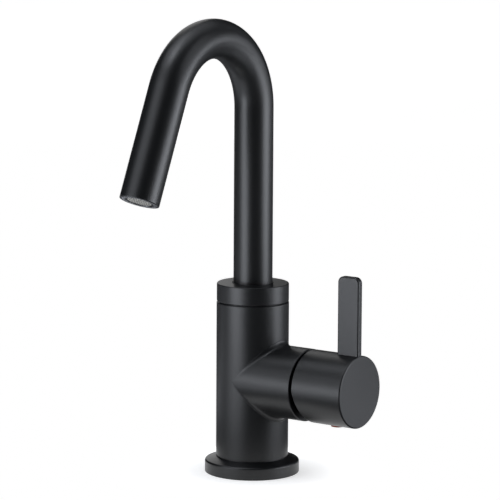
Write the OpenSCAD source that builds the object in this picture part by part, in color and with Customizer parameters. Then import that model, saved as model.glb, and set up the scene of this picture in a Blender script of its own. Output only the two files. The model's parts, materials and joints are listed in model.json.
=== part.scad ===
// Single-lever basin mixer: a round body with a side handle and a tall swivel spout.
// The origin is the centre of the base on the deck. The spout points to -Y, the handle to +X.

/* [Base] */
// Diameter of the base flange
flange_d = 55; // [52:1:70]
// Height of the flange's outer rim
rim_h = 7.2; // [5:0.1:8]
// Height of the flange where the body stands on it
flange_h = 9.2; // [8.6:0.1:12]
// Diameter of the body's spigot inside the flange
spigot_d = 38; // [36:0.5:39]
// Width of the rubber ring under the flange
base_seal_w = 3.5; // [2:0.5:4]
// Thickness of the rubber ring under the flange
base_seal_t = 1.6; // [1:0.1:2.5]

/* [Body] */
// Diameter of the upright body
body_d = 42; // [41:0.5:46]
// Height of the body's top above the deck
body_top = 100.4; // [97:0.2:120]
// Diameter of the side boss, which the handle's hub follows
boss_d = 42; // [41:0.5:44]
// Distance from the body's axis to the boss's end
boss_reach = 40.4; // [40:0.2:50]
// Height of the handle's axis above the deck
handle_z = 55.6; // [50:0.2:58]
// Chamfer on the edges of the body, boss and collar
edge = 0.7; // [0.3:0.1:1]
// How far the corner between body and boss is filled
saddle = 0.6; // [0.4:0.1:1.4]

/* [Waterways] */
// Tapping diameter of the fixing stud's hole
stud_hole_d = 6.8; // [5:0.1:8.5]
// Depth of the fixing stud's hole
stud_hole_depth = 14; // [10:1:20]
// Distance of the stud's hole behind the body's axis, away from the handle
stud_x = 11; // [10:0.5:13]
// Tapping diameter of the two hose inlets
inlet_d = 9; // [8:0.1:11]
// Depth of the hose inlets' threads
inlet_depth = 12; // [8:1:16]
// Distance between the two hose inlets
inlet_pitch = 15; // [13:0.5:18]
// Diameter of the passages that rise from the inlets
riser_d = 5.6; // [4:0.2:6.4]
// Diameter of the mixed water's passage
outlet_bore_d = 9; // [6:0.5:9.5]

/* [Spout] */
// Diameter of the spout's tube
tube_d = 22.6; // [20:0.2:24]
// Wall of the spout's tube
tube_wall = 1.2; // [0.8:0.1:1.5]
// Height at which the tube starts to bend
arch_z = 213.2; // [160:1:300]
// Bend radius at the tube's centre line
bend_r = 42.2; // [36:0.5:60]
// Angle that the tube bends through
bend_angle = 156.2; // [120:1:180]
// Straight length from the bend to the outlet
drop_len = 65.8; // [30:1:100]

/* [Collar] */
// Diameter of the collar at the spout's foot
collar_d = 41.8; // [40:0.2:45]
// Height of the collar
collar_h = 10.5; // [8:0.5:16]
// Thickness of the slip ring between body and collar
slip_t = 0.4; // [0.3:0.1:1]
// Width of the black ring round the tube's foot
foot_seal_w = 0.8; // [0.5:0.1:1.5]
// Height of the black ring round the tube's foot
foot_seal_h = 1.2; // [0.8:0.1:2]

/* [Spout shank] */
// Diameter of the socket in the body's top
socket_d = 26; // [24:0.5:28]
// Depth of the socket in the body's top
socket_depth = 24.4; // [24:0.2:26]
// Diameter of the shank's flange
shank_flange_d = 31; // [30:0.5:34]
// Thickness of the shank's flange
shank_flange_t = 2.8; // [2:0.1:4]
// Length of the shank's tenon inside the tube
tenon_len = 10.4; // [6:0.2:20]
// Diameter of the waterway through the shank
shank_bore_d = 15; // [10:0.5:16]
// Thickness of the shank's sealing rings
o_ring_t = 1.9; // [1.6:0.1:2.2]
// Height of the shank's bearing rings
bearing_h = 2.4; // [2:0.1:3]
// Turn of the spout to each side
swivel = 60; // [30:5:80]
// Diameter of the screw that keeps the spout in
stop_screw_d = 5; // [4:0.5:6]
// Diameter of that screw's plain tip
stop_tip_d = 3; // [2:0.1:3.4]

/* [Aerator] */
// Length of the bush in the outlet
bush_len = 11.5; // [11:0.5:16]
// Diameter of the aerator's thread
aerator_d = 16.5; // [16:0.1:19]
// Recess of the aerator inside the tube's end
aerator_recess = 0.3; // [0.2:0.1:2]
// Height of the aerator's shell
aerator_h = 8.4; // [7.4:0.2:10]
// Width of the key slots in the aerator's rim
key_slot_w = 2.2; // [1.5:0.1:3]
// Width of a honeycomb cell in the aerator's face
cell_d = 1.1; // [0.8:0.1:1.3]
// Spacing of the honeycomb cells
cell_pitch = 1.6; // [1.5:0.1:2.4]

/* [Cartridge] */
// Diameter of the cartridge
cartridge_d = 25; // [25:0.2:26]
// Thickness of the cartridge's base
base_t = 3.5; // [3:0.1:4]
// Thickness of each ceramic disc
disc_t = 3; // [2.4:0.1:3.2]
// Distance from the axis to the ports
port_circle_r = 6.3; // [6:0.1:6.6]
// Diameter of the ports
port_d = 5.2; // [4:0.1:5.4]
// Thickness of the driver on the moving disc
driver_t = 4.4; // [4:0.1:4.8]
// Turn of the lever to each side, which sets the temperature
mix_turn = 45; // [20:1:50]
// Tilt of the lever, which sets the flow
tilt = 20; // [10:1:20]
// Depth of the lever's pivot inside the boss's end
pivot_depth = 12; // [11.6:0.1:12.2]
// Diameter of the lever's pivot pin
pin_d = 3; // [2:0.1:3.4]
// Width of the square stem
stem_w = 7; // [6:0.1:7.2]
// Diameter of the ball on the stem's inner end
ball_d = 4.8; // [4:0.1:5]
// Diameter of the nut that holds the cartridge
nut_d = 33.6; // [33:0.1:34.4]
// Thickness of that nut
nut_t = 3; // [2.6:0.1:3.4]

/* [Handle] */
// Gap between the boss and the handle's hub
hub_gap = 1.6; // [1.4:0.1:3]
// Length of the handle's hub
hub_len = 33.2; // [30:0.2:45]
// Wall of the handle's hub
hub_wall = 2.4; // [1.6:0.1:2.5]
// Thickness of the hub's end wall
end_wall = 3; // [2:0.5:5]
// Angle of the slanted cut at the hub's lower inner edge
slant = 13.5; // [12:0.5:18]
// Height of the blade's top above the deck
blade_top = 121.5; // [100:0.5:150]
// Width of the blade along the handle's axis
blade_w = 14.3; // [8:0.1:16]
// Thickness of the blade
blade_t = 4.2; // [3:0.1:6]
// Setback of the blade from the hub's end
blade_inset = 0.3; // [0:0.1:3]
// Radius of the blade's top corners
blade_corner_r = 3.5; // [1:0.1:4]
// Diameter of the screw that clamps the handle on the stem
set_screw_d = 5; // [4:0.5:5.5]
// Length of that screw
set_screw_len = 8; // [5:0.5:10]
// Diameter of the red and blue button
button_d = 7.8; // [7:0.1:9]
// How far the button stands out of the hub
button_proud = 0.9; // [0.4:0.1:1.5]

/* [Hidden] */
$fn = 96;

// Clearances: running fit, slip fit of assembled pieces, and open gap between bodies
run = 0.04;
slip = 0.1;
gap = 0.3;
// Film between the ceramic discs, and overlap of cutting tools past a face
film = 0.02;
cut = 1;

// Radii of the main forms
flange_r = flange_d / 2;
spigot_r = spigot_d / 2;
body_r = body_d / 2;
boss_r = boss_d / 2;
tube_r = tube_d / 2;
tube_bore_r = tube_r - tube_wall;
// The drop is sized a hair wider than the bend and laps into it, so that they are one solid
sizing = 0.05;
lap = 0.2;
collar_r = collar_d / 2;

// Base: the rubber ring lies midway between spigot and rim
base_seal_r = (spigot_r + flange_r) / 2;
foot_recess = 0.5;

// Places of the rising passages, in front of and behind the body's axis
riser_x = 3;
outlet_x = -4;

// Spout's foot, upward from the body's top
collar_z = body_top + slip_t;
collar_top = collar_z + collar_h;
tube_foot = collar_z + shank_flange_t;
socket_r = socket_d / 2;
socket_floor = body_top - socket_depth;
shank_r = socket_r - 2 * run;
o_ring_r = socket_r - film - o_ring_t / 2;
bearing_in = shank_r - 0.8;
stop_rise = 5;
stop_z = socket_floor + stop_rise;
stop_out = 0.8;
stop_tip_y = shank_r - 1.1;
stop_half = swivel + asin((stop_tip_d / 2 + gap) / shank_r);
lower_bearing_z = stop_z + stop_tip_d / 2 + 1.5;
lower_ring_z = lower_bearing_z + bearing_h + 2;
upper_ring_z = lower_ring_z + o_ring_t + 1.6;
upper_bearing_z = upper_ring_z + o_ring_t / 2 + 1;
slip_ring_in = socket_r + gap;
slip_ring_out = body_r - edge - 0.7;

// Aerator, inward from the outlet
bush_r = tube_bore_r - run / 2;
aerator_r = aerator_d / 2;
shell_bore_r = aerator_r - 1;
lip_r = shell_bore_r - 0.4;
lip_t = 0.8;
screen_t = 1;
core_t = 1.6;
shell_end = aerator_recess + aerator_h;
face_z = aerator_recess + lip_t;
face_t = shell_end - screen_t - core_t - face_z;
bush_lip = 1;
insert_r = shell_bore_r - run;
cell_rim = 0.3;

// Cartridge, outward along the handle's axis from the cavity's floor
rotor_t = 4.8;
shoulder = 1.4;
cavity_depth = base_t + 2 * disc_t + film + driver_t + gap + rotor_t + shoulder + pivot_depth;
cavity_x = boss_reach - cavity_depth;
cart_r = cartridge_d / 2;
cavity_r = cart_r + 2 * slip;
chamber_r = cart_r - 1.2;
fixed_x = cavity_x + base_t;
moving_x = fixed_x + disc_t + film;
driver_x = moving_x + disc_t;
rotor_x = driver_x + driver_t + gap;
pivot_x = boss_reach - pivot_depth;
shoulder_x = pivot_x - shoulder;
cap_depth = 2.9;
housing_x = boss_reach - cap_depth - nut_t;
flange_x = housing_x - 3;
housing_flange_r = cart_r + 2.5;
moving_r = 8.4;
ball_r = ball_d / 2;
driver_flat = moving_r - 0.4;
// Pegs of the driver: their radius, and their place below and beside the handle's axis
peg_r = 1.4;
peg_below = 3;
peg_aside = 5;
pocket_r = ball_r + gap;
pocket_floor = 0.7;
ball_x = driver_x + pocket_floor + gap + ball_r;
neck_r = ball_r - 0.5;
rotor_r = chamber_r - 0.5;
nose_r = 9;
nose_tip_r = 8.2;
nose_end = housing_x + 1.4;
stem_half = stem_w / 2;
stop_play = 0.15;
lug_half = 10;
ring_t = 1.5;
ring_r = cart_r - 1;
rim_wall = 0.9;
nut_r = nut_d / 2;
nut_bore_r = cart_r + gap;
thread_r = nut_r + slip;
nut_x = housing_x;
dome_x = nut_x + nut_t;
dome_foot_r = nut_r - 0.8;
dome_r = norm([pivot_depth, dome_foot_r]);
dome_wall = 1.2;
dome_hole_r = 11;
skirt_in = nut_r - 1.6;

// Handle, outward along the same axis
hub_r = boss_r - 0.1;
hub_x = boss_reach + hub_gap;
hub_end = hub_x + hub_len;
hub_edge = 0.4;
socket_boss_wall = 4;
socket_boss_r = stem_w / 2 + socket_boss_wall;
socket_boss_x = pivot_x + dome_r + 2 * gap;
// Stem's end behind the hub's end wall, and the set screw behind the stem's end
stem_back = 6;
screw_back = 6;
stem_end = hub_end - end_wall - stem_back;
screw_x = stem_end - screw_back;
set_screw_r = set_screw_d / 2;
button_r = button_d / 2;
button_depth = 2.5;
column_r = button_r + 1.6;

// Points of an arc about c with radius r, from angle a0 to angle a1
function arc(c, r, a0, a1, n = 6) =
    [for (i = [0:n]) let (a = a0 + (a1 - a0) * i / n) c + r * [cos(a), sin(a)]];

// Points of a sphere's outline about the pivot, between two distances from the handle's axis
function dome_arc(r, from, to, n = 8) =
    [for (i = [0:n]) let (a = asin(from / r) + (asin(to / r) - asin(from / r)) * i / n)
        [r * sin(a), pivot_x + r * cos(a)]];

// Ring between two radii, standing on height z
module ring(r_out, r_in, z, h) {
    translate([0, 0, z]) difference() {
        cylinder(r = r_out, h = h);
        translate([0, 0, -cut]) cylinder(r = r_in, h = h + 2 * cut);
    }
}

// Cylinder with a chamfer at its foot and its top
module chamfered(r, z0, z1, c0, c1) {
    rotate_extrude() polygon([[0, z0], [r - c0, z0], [r, z0 + c0], [r, z1 - c1], [r - c1, z1], [0, z1]]);
}

// Round sealing ring
module o_ring(r, z) {
    translate([0, 0, z]) rotate_extrude() translate([r, 0]) circle(d = o_ring_t);
}

// Turns +Z to the handle's axis: the local X then points down and Y stays
module on_handle_axis() {
    translate([0, 0, handle_z]) rotate([0, 90, 0]) children();
}

// Frame at the outlet's centre, with +Z pointing back up into the tube
module on_outlet() {
    translate([0, -bend_r, arch_z]) rotate([bend_angle, 0, 0])
        translate([0, bend_r, drop_len]) rotate([180, 0, 0]) children();
}

// Frame at the spout's stop screw, with +Z pointing to the rear
module on_stop_screw() {
    translate([0, 0, stop_z]) rotate([-90, 0, 0]) children();
}

// Frame of the set screw under the hub, with +Z pointing down
module on_set_screw() {
    translate([screw_x, 0, handle_z]) rotate([180, 0, 0]) children();
}

// The three ports: the outlet below and the two inlets above it
module at_ports(angles = [0, 120, 240]) {
    for (a = angles) rotate(a) translate([port_circle_r, 0, 0]) children();
}

// Solid round rod along the spout's centre line, run past both ends by extra
module spout_rod(r, extra = 0) {
    translate([0, 0, tube_foot - extra]) cylinder(r = r, h = arch_z - tube_foot + extra);
    translate([0, -bend_r, arch_z]) rotate([90, 0, 90])
        rotate_extrude(angle = bend_angle) translate([bend_r, 0]) circle(r = r);
    on_outlet() translate([0, 0, -extra]) cylinder(r = r + sizing, h = drop_len + extra + lap);
}

// Base

module base_flange() {
    bore = spigot_r + slip;
    round_r = 0.8;
    round_turn = 70;
    foot_in = base_seal_r - base_seal_w / 2 - slip;
    foot_out = base_seal_r + base_seal_w / 2 + slip;
    color("#232425") rotate_extrude() polygon(concat(
        [[bore, 0], [foot_in, 0], [foot_in, base_seal_t], [foot_out, base_seal_t], [foot_out, 0]],
        [[flange_r - hub_edge, 0], [flange_r, hub_edge]],
        arc([flange_r - round_r, rim_h - round_r], round_r, 0, round_turn),
        [[body_r + gap, flange_h], [bore, flange_h]]));
}

module base_seal() {
    color("#1a1a1a")
        ring(base_seal_r + base_seal_w / 2, base_seal_r - base_seal_w / 2, 0, base_seal_t);
}

// Body

// Outer form of the upright body and its side boss
module body_form() {
    rotate_extrude() polygon([[0, 0], [spigot_r - hub_edge, 0], [spigot_r, hub_edge],
        [spigot_r, flange_h], [body_r - foot_recess, flange_h],
        [body_r - foot_recess, flange_h + foot_recess], [body_r, flange_h + 1.4 * foot_recess],
        [body_r, body_top - edge], [body_r - edge, body_top], [0, body_top]]);
    on_handle_axis() chamfered(boss_r, 0, boss_reach, 0, edge);
    saddle_fill(45);
    saddle_fill(135);
}

// Cylinder across the corner between body and boss, which fades out towards the sides
module saddle_fill(angle) {
    fill_r = boss_r / sqrt(2);
    corner = (body_r + boss_r) / sqrt(2);
    translate([0, 0, handle_z]) rotate([0, angle, 0]) translate([0, 0, corner - fill_r + saddle])
        rotate([0, 90, 0]) cylinder(r = fill_r, h = 6 * saddle, center = true);
}

// Cavity in the boss for the cartridge, its shoulder and its nut
module cartridge_cavity() {
    on_handle_axis() {
        translate([0, 0, cavity_x]) cylinder(r = cavity_r, h = cavity_depth + cut);
        translate([0, 0, flange_x]) cylinder(r = housing_flange_r + 2 * slip, h = cavity_depth);
        translate([0, 0, housing_x - slip]) cylinder(r = thread_r, h = cavity_depth);
    }
}

// Passages from the hose inlets to the cartridge and from there to the spout
module waterways() {
    riser_top = port_circle_r / 2 + port_d / 2;
    for (side = [-1, 1]) {
        translate([riser_x, side * inlet_pitch / 2, 0]) {
            translate([0, 0, -cut]) cylinder(d = inlet_d, h = inlet_depth + cut);
            cylinder(d = riser_d, h = handle_z + riser_top);
        }
    }
    on_handle_axis() {
        at_ports([120, 240]) translate([0, 0, riser_x]) cylinder(d = port_d, h = cavity_x - riser_x + cut);
        at_ports([0]) translate([0, 0, outlet_x]) cylinder(d = port_d, h = cavity_x - outlet_x + cut);
    }
    outlet_z = handle_z - port_circle_r - port_d / 2;
    translate([outlet_x, 0, outlet_z]) cylinder(d = outlet_bore_d, h = socket_floor - outlet_z + cut);
    translate([-stud_x, 0, -cut]) cylinder(d = stud_hole_d, h = stud_hole_depth + cut);
}

module body() {
    color("#262728") difference() {
        body_form();
        cartridge_cavity();
        waterways();
        translate([0, 0, socket_floor]) cylinder(r = socket_r, h = socket_depth + cut);
        on_stop_screw() cylinder(d = stop_screw_d, h = body_r + cut);
    }
}

// Spout

module spout_tube() {
    color("#262728") difference() {
        spout_rod(tube_r);
        spout_rod(tube_bore_r, cut);
    }
}

module spout_collar() {
    color("#262728") difference() {
        chamfered(collar_r, collar_z, collar_top, edge, edge / 2);
        translate([0, 0, collar_z - cut]) cylinder(r = tube_r + run, h = collar_h + 2 * cut);
        translate([0, 0, collar_z - cut])
            cylinder(d = shank_flange_d + 2 * slip, h = shank_flange_t + cut);
        translate([0, 0, collar_top - foot_seal_h])
            cylinder(r = tube_r + foot_seal_w, h = foot_seal_h + cut);
    }
}

module collar_slip_ring() {
    color("#1b1b1c") ring(slip_ring_out, slip_ring_in, body_top, slip_t);
}

module tube_foot_seal() {
    color("#101010")
        ring(tube_r + foot_seal_w - run, tube_r + run, collar_top - foot_seal_h, foot_seal_h);
}

module spout_shank() {
    tenon_r = tube_bore_r - run / 2;
    groove_h = o_ring_t + 0.5;
    color("#c9a24b") difference() {
        union() {
            chamfered(shank_r, socket_floor + gap, collar_z + cut, 0.8, 0);
            translate([0, 0, collar_z]) cylinder(d = shank_flange_d, h = shank_flange_t);
            chamfered(tenon_r, collar_z, tube_foot + tenon_len, 0, 0.8);
        }
        translate([0, 0, socket_floor]) cylinder(d = shank_bore_d, h = arch_z - socket_floor);
        for (z = [lower_ring_z, upper_ring_z])
            ring(socket_r + cut, o_ring_r - o_ring_t / 2 - film, z - groove_h / 2, groove_h);
        for (z = [lower_bearing_z, upper_bearing_z])
            ring(socket_r + cut, bearing_in - film, z - film, bearing_h + 2 * film);
        stop_groove();
    }
}

// Groove round the rear of the shank: its two ends stop the spout
module stop_groove() {
    groove_r = stop_tip_y - gap;
    groove_h = stop_tip_d + 2 * gap;
    translate([0, 0, stop_z - groove_h / 2])
        rotate_extrude(angle = 2 * stop_half, start = 90 - stop_half)
        translate([groove_r, 0]) square([socket_r + cut - groove_r, groove_h]);
}

module upper_o_ring() {
    color("#151515") o_ring(o_ring_r, upper_ring_z);
}

module lower_o_ring() {
    color("#151515") o_ring(o_ring_r, lower_ring_z);
}

module upper_bearing_ring() {
    color("#e4e1d8") ring(socket_r - film, bearing_in, upper_bearing_z, bearing_h);
}

module lower_bearing_ring() {
    color("#e4e1d8") ring(socket_r - film, bearing_in, lower_bearing_z, bearing_h);
}

module spout_stop_screw() {
    thread_y = shank_r + 0.7;
    color("#8d9094") on_stop_screw() difference() {
        union() {
            translate([0, 0, stop_tip_y]) cylinder(d = stop_tip_d, h = thread_y - stop_tip_y + cut);
            translate([0, 0, thread_y])
                cylinder(r = stop_screw_d / 2 - run, h = body_r - stop_out - thread_y);
        }
        hex_socket(body_r - stop_out);
    }
}

// Hexagon socket cut into a grub screw's head at height z
module hex_socket(z) {
    translate([0, 0, z - 2.4]) cylinder(r = 1.45, h = 2.4 + cut, $fn = 6);
}

// Aerator

module aerator_bush() {
    color("#b8b9ba") on_outlet() difference() {
        cylinder(r = bush_r, h = bush_len);
        translate([0, 0, -cut]) cylinder(r = aerator_r + run, h = bush_len - bush_lip + cut);
        cylinder(r = shell_bore_r - slip, h = bush_len + cut);
    }
}

module aerator_seal() {
    seal_h = bush_len - bush_lip - shell_end;
    color("#1c1c1c") on_outlet() ring(aerator_r - run, shell_bore_r, shell_end, seal_h);
}

// Shell with a lip round the face and four key slots through the lip
module aerator_shell() {
    slot_h = 1.4;
    slot_turn = 64;
    color("#4a4b4d") on_outlet() difference() {
        translate([0, 0, aerator_recess]) cylinder(r = aerator_r, h = aerator_h);
        translate([0, 0, face_z]) cylinder(r = shell_bore_r, h = aerator_h);
        cylinder(r = lip_r, h = shell_end);
        for (a = [0, 90]) rotate(slot_turn + a) translate([-aerator_r - cut, -key_slot_w / 2, 0])
            cube([2 * aerator_r + 2 * cut, key_slot_w, aerator_recess + slot_h]);
    }
}

// Honeycomb of cells in rows, kept inside a circle
module cell_pattern(d, pitch, reach, h) {
    row = pitch * sin(60);
    n = ceil(reach / row);
    for (j = [-n:n], i = [-n:n]) {
        x = (i + (j % 2) / 2) * pitch;
        if (norm([x, j * row]) < reach) translate([x, j * row, -cut])
            cylinder(d = d, h = h + 2 * cut, $fn = 6);
    }
}

// Honeycomb plate behind the shell's lip, with a nose that stands in the lip
module aerator_face() {
    color("#b4b4b1") on_outlet() difference() {
        union() {
            translate([0, 0, aerator_recess + film]) cylinder(r = lip_r - run, h = face_t);
            translate([0, 0, face_z]) cylinder(r = insert_r, h = face_t);
        }
        cell_pattern(cell_d, cell_pitch, lip_r - cell_d / 2 - cell_rim, shell_end);
    }
}

module aerator_core() {
    jets = 12;
    jet_d = 1.2;
    color("#c8c9cb") on_outlet() translate([0, 0, shell_end - screen_t - core_t]) difference() {
        cylinder(r = insert_r, h = core_t);
        for (i = [0:jets - 1]) rotate(i * 360 / jets) translate([lip_r - jet_d, 0, -cut])
            cylinder(d = jet_d, h = core_t + 2 * cut);
    }
}

module aerator_screen() {
    color("#d5d6d8") on_outlet() translate([0, 0, shell_end - screen_t]) difference() {
        cylinder(r = insert_r, h = screen_t);
        cell_pattern(cell_d, 1.5 * cell_pitch, lip_r - cell_d / 2, screen_t);
    }
}

// Cartridge

module port_seals() {
    color("#202020") on_handle_axis() at_ports()
        ring(port_d / 2 + 1.3, port_d / 2, cavity_x, base_t / 3);
}

module cartridge_base() {
    color("#e9e7e1") on_handle_axis() difference() {
        translate([0, 0, cavity_x]) cylinder(r = cart_r - slip, h = base_t);
        at_ports() translate([0, 0, cavity_x - cut]) {
            cylinder(d = port_d, h = base_t + 2 * cut);
            cylinder(r = port_d / 2 + 1.3 + run, h = base_t / 3 + cut);
        }
    }
}

// Arc-shaped port through the fixed disc
module disc_port(angle, half) {
    translate([0, 0, fixed_x - cut]) rotate_extrude(angle = 2 * half, start = angle - half)
        translate([port_circle_r - port_d / 3, 0]) square([2 * port_d / 3, disc_t + 2 * cut]);
}

module fixed_disc() {
    outlet_half = 30;
    inlet_half = 22;
    color("#f4f3ef") on_handle_axis() difference() {
        translate([0, 0, fixed_x]) cylinder(r = chamber_r - slip, h = disc_t);
        disc_port(0, outlet_half);
        disc_port(120, inlet_half);
        disc_port(240, inlet_half);
    }
}

module moving_disc() {
    pocket_shift = 2.6;
    mixing_r = 5.2;
    color("#f4f3ef") on_handle_axis() difference() {
        translate([0, 0, moving_x]) cylinder(r = moving_r, h = disc_t);
        translate([pocket_shift, 0, moving_x - cut]) cylinder(r = mixing_r, h = disc_t / 2 + cut);
        driver_pegs(peg_r + run, 1.3);
    }
}

// Two pegs that carry the moving disc with its driver
module driver_pegs(r, h) {
    for (side = [-1, 1]) translate([-peg_below, side * peg_aside, driver_x - h])
        cylinder(r = r, h = h + cut);
}

module disc_driver() {
    color("#3d6ea5") on_handle_axis() difference() {
        union() {
            intersection() {
                translate([0, 0, driver_x]) cylinder(r = moving_r, h = driver_t);
                translate([-moving_r, -driver_flat, driver_x])
                    cube([2 * moving_r, 2 * driver_flat, driver_t]);
            }
            driver_pegs(peg_r, 1.2);
        }
        translate([0, 0, driver_x + pocket_floor]) cylinder(r = pocket_r, h = driver_t);
    }
}

// Outline of the rotor's slot: the stem lies on its upper wall when closed and on its lower when open
module stem_slot() {
    wall = stem_half + stop_play;
    low = wall / cos(tilt);
    reach = 9;
    points = [[-reach, stem_half + 1.7], [0.6, stem_half + 1.7], [0.6, wall], [reach, wall],
        [reach, -low - reach * tan(tilt)], [0, -low], [-reach, -low]];
    translate([pivot_x, stem_half + stop_play, handle_z]) rotate([90, 0, 0])
        linear_extrude(2 * (stem_half + stop_play)) polygon(points);
}

// Rotor's round steps, its stop lug and the two ribs that guide the driver
module rotor_form() {
    rib_in = driver_flat + slip;
    rib_t = 1.6;
    rib_w = 9;
    rib_h = driver_t - 0.8;
    lug_x = housing_x + 2 * slip;
    translate([0, 0, rotor_x]) {
        cylinder(r = rotor_r, h = shoulder_x - rotor_x);
        cylinder(r = nose_r, h = housing_x - 2 * slip - rotor_x);
        cylinder(r = nose_tip_r, h = nose_end - rotor_x);
    }
    translate([0, 0, lug_x]) rotate_extrude(angle = 2 * lug_half, start = -lug_half)
        translate([nose_tip_r - cut, 0]) square([nose_r - nose_tip_r + cut, nose_end - lug_x]);
    for (side = [0, 180]) rotate(side)
        translate([-rib_w / 2, rib_in, rotor_x - rib_h]) cube([rib_w, rib_t, rib_h + cut]);
}

module cartridge_rotor() {
    color("#dcdad2") difference() {
        on_handle_axis() rotor_form();
        stem_slot();
        translate([pivot_x, 0, handle_z]) rotate([90, 0, 0])
            cylinder(r = pin_d / 2 + film, h = 2 * nose_r + cut, center = true);
    }
}

module pivot_pin() {
    color("#9a9da1") translate([pivot_x, 0, handle_z]) rotate([90, 0, 0])
        cylinder(d = pin_d, h = 2 * nose_r - 2 * gap, center = true);
}

module lever_stem() {
    square_x = pivot_x - stem_half;
    color("#c9a24b") difference() {
        on_handle_axis() {
            translate([0, 0, ball_x]) sphere(r = ball_r);
            translate([0, 0, ball_x]) cylinder(r = neck_r, h = square_x - ball_x + cut);
            translate([-stem_half, -stem_half, square_x]) cube([stem_w, stem_w, stem_end - square_x]);
        }
        translate([pivot_x, 0, handle_z]) rotate([90, 0, 0])
            cylinder(r = pin_d / 2 + run, h = 2 * stem_w, center = true);
    }
}

module cartridge_housing() {
    color("#e9e7e1") on_handle_axis() difference() {
        union() {
            translate([0, 0, fixed_x]) cylinder(r = cart_r, h = housing_x + ring_t - fixed_x);
            translate([0, 0, flange_x]) cylinder(r = housing_flange_r, h = housing_x - flange_x);
        }
        translate([0, 0, fixed_x - cut]) cylinder(r = chamber_r, h = rotor_x - fixed_x + cut);
        translate([0, 0, fixed_x]) cylinder(r = rotor_r + 2 * run, h = shoulder_x + run - fixed_x);
        translate([0, 0, fixed_x]) cylinder(r = nose_r + 2 * run, h = cavity_depth);
        translate([0, 0, housing_x]) cylinder(r = cart_r - rim_wall, h = ring_t + cut);
        stop_ring_tabs(1.65, cut);
    }
}

// Three tabs that key the stop ring into the housing's rim
module stop_ring_tabs(half_w, extra) {
    for (a = [60, 180, 300]) rotate(a) translate([ring_r - 0.6, -half_w, housing_x])
        cube([cart_r - ring_r + 0.5 + extra, 2 * half_w, ring_t + extra]);
}

module mix_stop_ring() {
    stop_turn = mix_turn + lug_half + 1;
    color("#c23b32") on_handle_axis() difference() {
        union() {
            translate([0, 0, housing_x]) cylinder(r = ring_r, h = ring_t);
            stop_ring_tabs(1.5, 0);
        }
        translate([0, 0, housing_x - cut]) cylinder(r = nose_tip_r + slip, h = ring_t + 2 * cut);
        translate([0, 0, housing_x - cut])
            rotate_extrude(angle = 2 * stop_turn, start = -stop_turn)
            translate([nose_tip_r - cut, 0]) square([nose_r + slip - nose_tip_r + cut, ring_t + 2 * cut]);
    }
}

module cartridge_nut() {
    key_slots = 6;
    color("#c9a24b") on_handle_axis() difference() {
        ring(nut_r, nut_bore_r, nut_x, nut_t);
        for (i = [0:key_slots - 1]) rotate(i * 360 / key_slots)
            translate([nut_bore_r - cut, -1.5, nut_x - cut]) cube([cut + 1.4, 3, nut_t + 2 * cut]);
    }
}

module dome_cap() {
    color("#1f2021") on_handle_axis() rotate_extrude() polygon(concat(
        [[skirt_in, dome_x], [nut_r, dome_x], [nut_r, boss_reach - 2 * slip]],
        dome_arc(dome_r, dome_foot_r, dome_hole_r),
        dome_arc(dome_r - dome_wall, dome_hole_r, skirt_in)));
}

// Handle

module lever_handle() {
    color("#262728") difference() {
        union() {
            hub();
            blade();
        }
        translate([socket_boss_x - cut, -stem_half - run, handle_z - stem_half - run])
            cube([stem_end + gap - socket_boss_x + cut, stem_w + 2 * run, stem_w + 2 * run]);
        on_set_screw() {
            cylinder(r = set_screw_r, h = hub_r + cut);
            translate([0, 0, hub_r - button_depth]) cylinder(r = button_r + run, h = hub_r);
        }
    }
}

// Hollow hub with the stem's socket, and its lower inner edge cut on the slant
module hub() {
    hollow_r = hub_r - hub_wall;
    difference() {
        on_handle_axis() chamfered(hub_r, hub_x, hub_end, hub_edge, hub_edge);
        difference() {
            on_handle_axis() translate([0, 0, hub_x - cut])
                cylinder(r = hollow_r, h = hub_len - end_wall + cut);
            on_handle_axis() translate([0, 0, socket_boss_x])
                cylinder(r = socket_boss_r, h = hub_end - socket_boss_x);
            on_set_screw() cylinder(r = column_r, h = hub_r);
        }
        translate([0, boss_r + cut, handle_z]) rotate([90, 0, 0]) linear_extrude(2 * (boss_r + cut))
            polygon([[hub_x - cut, 0], [hub_x, 0], [hub_x + boss_d * tan(slant), -boss_d],
                [hub_x - cut, -boss_d]]);
    }
}

// Upright blade with rounded top corners and eased long edges
module blade() {
    x1 = hub_end - blade_inset;
    x0 = x1 - blade_w;
    foot = handle_z + sqrt(hub_r * hub_r - blade_t * blade_t / 4) - hub_wall / 2;
    ease = 0.6;
    r = blade_corner_r;
    intersection() {
        translate([0, blade_t / 2, 0]) rotate([90, 0, 0]) linear_extrude(blade_t) union() {
            translate([x0, foot]) square([blade_w, blade_top - r - foot]);
            translate([x0 + r, foot]) square([blade_w - 2 * r, blade_top - foot]);
            translate([x0 + r, blade_top - r]) circle(r = r);
            translate([x1 - r, blade_top - r]) circle(r = r);
        }
        translate([0, 0, foot - cut]) linear_extrude(blade_top) union() {
            translate([x0 + ease, -blade_t / 2]) square([blade_w - 2 * ease, blade_t]);
            translate([x0, ease - blade_t / 2]) square([blade_w, blade_t - 2 * ease]);
            for (x = [x0 + ease, x1 - ease], y = [ease - blade_t / 2, blade_t / 2 - ease])
                translate([x, y]) circle(r = ease);
        }
    }
}

module handle_set_screw() {
    color("#8d9094") on_set_screw() difference() {
        translate([0, 0, stem_half + run]) cylinder(r = set_screw_r - run, h = set_screw_len);
        hex_socket(stem_half + run + set_screw_len);
    }
}

module index_button() {
    color("#c4432e") on_set_screw()
        chamfered(button_r, hub_r - button_depth, hub_r + button_proud, 0.3, 0.3);
}

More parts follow.
